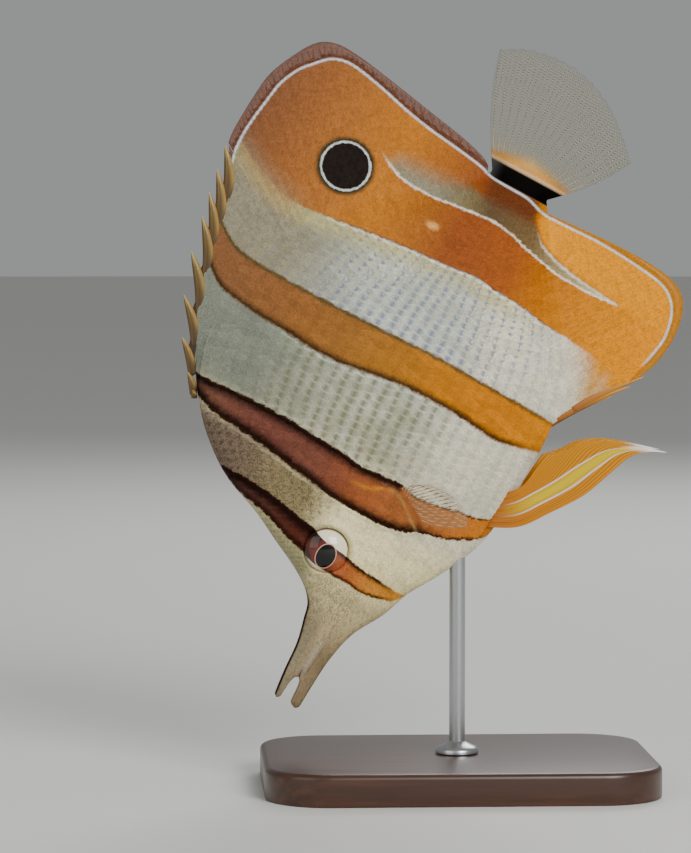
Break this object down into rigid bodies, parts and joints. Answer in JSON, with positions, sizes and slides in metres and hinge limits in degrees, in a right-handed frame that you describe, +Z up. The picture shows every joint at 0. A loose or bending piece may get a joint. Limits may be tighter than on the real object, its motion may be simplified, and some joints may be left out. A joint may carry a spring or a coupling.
{
  "type": "butterflyfish model on a stand",
  "caption": "Life-size long-snouted butterflyfish with orange bars, swimming head down, on a rod and a flat base.",
  "frame": {"origin": "centre of the base's underside", "axes": "+Z up; +X from the mouth's side towards the tail's side; +Y towards the fish's right side, so that its left side faces -Y"},
  "size_m": [0.1256, 0.072, 0.1862],
  "materials": {
    "skin": "wet scaled fish skin, silver with copper-orange bars edged in black",
    "eye": "clear glossy eye with a black pupil and a banded iris",
    "fin_spines": "golden-brown spines in a scaly sheath",
    "fin_orange": "orange scaly fin with a pale blue line and a translucent rim",
    "fin_clear": "clear thin membrane with grey-brown rays",
    "stand_wood": "dark stained hardwood, satin varnish",
    "stand_steel": "satin steel rod"
  },
  "bodies": {
    "root": {"head": "skin", "upper_jaw": "skin", "lower_jaw": "skin", "gill_cover_left": "skin", "gill_cover_right": "skin", "trunk": "skin", "tail_stalk": "skin", "eye_left": "eye", "eye_right": "eye", "dorsal_spines": "fin_spines", "dorsal_soft_fin": "fin_orange", "anal_fin": "fin_orange", "tail_fin": "fin_clear", "pectoral_fin_left": "fin_clear", "pectoral_fin_right": "fin_clear", "pelvic_fin_left": "fin_orange", "pelvic_fin_right": "fin_orange", "stand_base": "stand_wood", "stand_rod": "stand_steel"}
  },
  "joints": []
}
